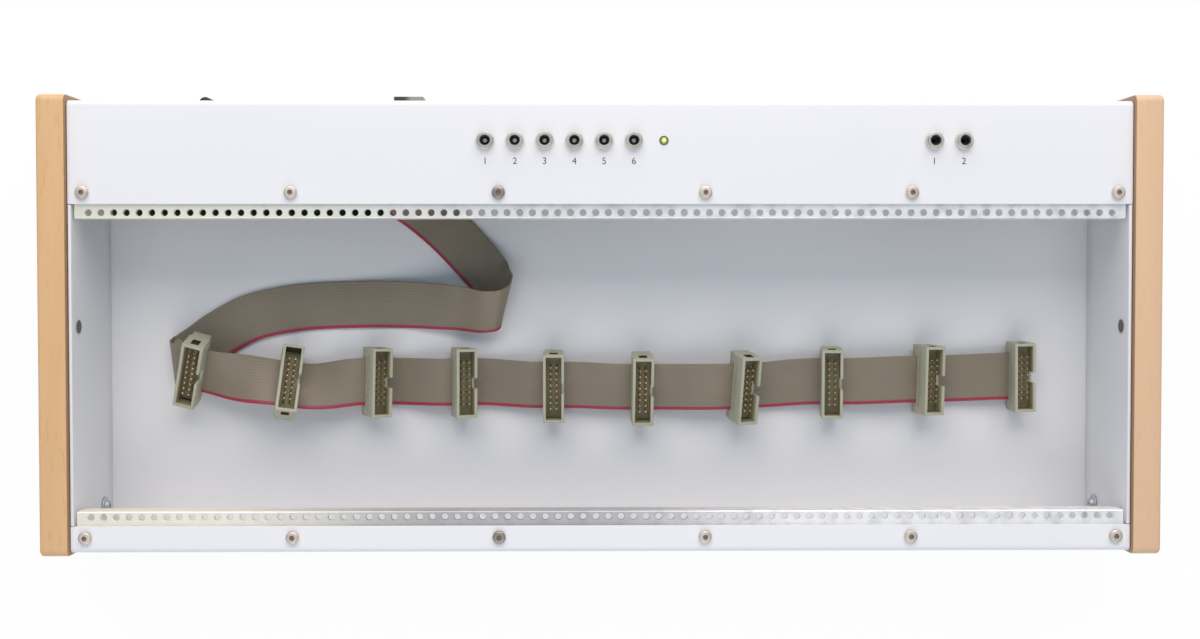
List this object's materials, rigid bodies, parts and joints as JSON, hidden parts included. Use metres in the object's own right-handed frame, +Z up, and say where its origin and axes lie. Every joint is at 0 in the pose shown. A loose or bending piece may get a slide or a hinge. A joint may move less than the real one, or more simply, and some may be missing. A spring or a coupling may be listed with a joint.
{
  "type": "eurorack case",
  "caption": "Shallow desktop eurorack case: folded white steel shell with beech side cheeks, hole-row rails, a flat bus ribbon with box headers, and a jack and power panel.",
  "frame": {"origin": "on the surface under the rubber feet, in the middle of the whole outline", "axes": "+X to the right along the module rows, +Y towards the rear wall with the connectors, +Z up out of the module bay; the user sits on the -Y side"},
  "size_m": [0.4504, 0.1868, 0.0598],
  "materials": {
    "white_powder_coat": "satin powder coat",
    "beech": "oiled",
    "bright_rail": "zinc plated",
    "nickel_screw": "nickel plated",
    "dark_screw": "blackened",
    "nickel_nut": "nickel plated",
    "circuit_board": "solder mask",
    "black_plastic": "moulded",
    "foot_rubber": "matte",
    "connector_shield": "tin plated",
    "lamp_lens": "clear tinted",
    "header_housing": "moulded",
    "ribbon_insulation": "soft vinyl"
  },
  "bodies": {
    "case": {"case_shell": "white_powder_coat", "end_plate_left": "white_powder_coat", "end_plate_right": "white_powder_coat", "side_cheek_left": "beech", "side_cheek_right": "beech", "rail_upper": "bright_rail", "rail_lower": "bright_rail", "rail_screw_upper_1": "nickel_screw", "rail_screw_upper_2": "nickel_screw", "rail_screw_upper_3": "nickel_screw", "rail_screw_upper_4": "nickel_screw", "rail_screw_upper_5": "nickel_screw", "rail_screw_upper_6": "nickel_screw", "rail_screw_lower_1": "nickel_screw", "rail_screw_lower_2": "nickel_screw", "rail_screw_lower_3": "nickel_screw", "rail_screw_lower_4": "nickel_screw", "rail_screw_lower_5": "nickel_screw", "rail_screw_lower_6": "nickel_screw", "cheek_screw_left_front": "nickel_screw", "cheek_screw_left_middle": "dark_screw", "cheek_screw_left_rear": "nickel_screw", "cheek_screw_right_front": "nickel_screw", "cheek_screw_right_middle": "dark_screw", "cheek_screw_right_rear": "nickel_screw", "bus_ribbon": "ribbon_insulation", "bus_header_1": "header_housing", "bus_header_2": "header_housing", "bus_header_3": "header_housing", "bus_header_4": "header_housing", "bus_header_5": "header_housing", "bus_header_6": "header_housing", "bus_header_7": "header_housing", "bus_header_8": "header_housing", "bus_header_9": "header_housing", "bus_header_10": "header_housing", "ribbon_socket": "header_housing", "main_board": "circuit_board", "out_board": "circuit_board", "board_header": "black_plastic", "jack_1": "nickel_nut", "jack_2": "nickel_nut", "jack_3": "nickel_nut", "jack_4": "nickel_nut", "jack_5": "nickel_nut", "jack_6": "nickel_nut", "out_jack_1": "nickel_nut", "out_jack_2": "nickel_nut", "status_led": "lamp_lens", "switch_frame": "black_plastic", "dc_inlet": "black_plastic", "usb_socket": "connector_shield", "din_socket": "black_plastic", "line_out_jack_1": "black_plastic", "line_out_jack_2": "black_plastic", "foot_front_left": "foot_rubber", "foot_front_right": "foot_rubber", "foot_rear_left": "foot_rubber", "foot_rear_right": "foot_rubber"},
    "rocker": {"power_rocker": "black_plastic"}
  },
  "joints": [
    {"name": "rocker_pivot", "type": "hinge", "parent": "case", "child": "rocker", "pos_m": [-0.1574, 0.08894, 0.0339], "axis": [0, 0, 1], "range_deg": [0, 18]}
  ]
}
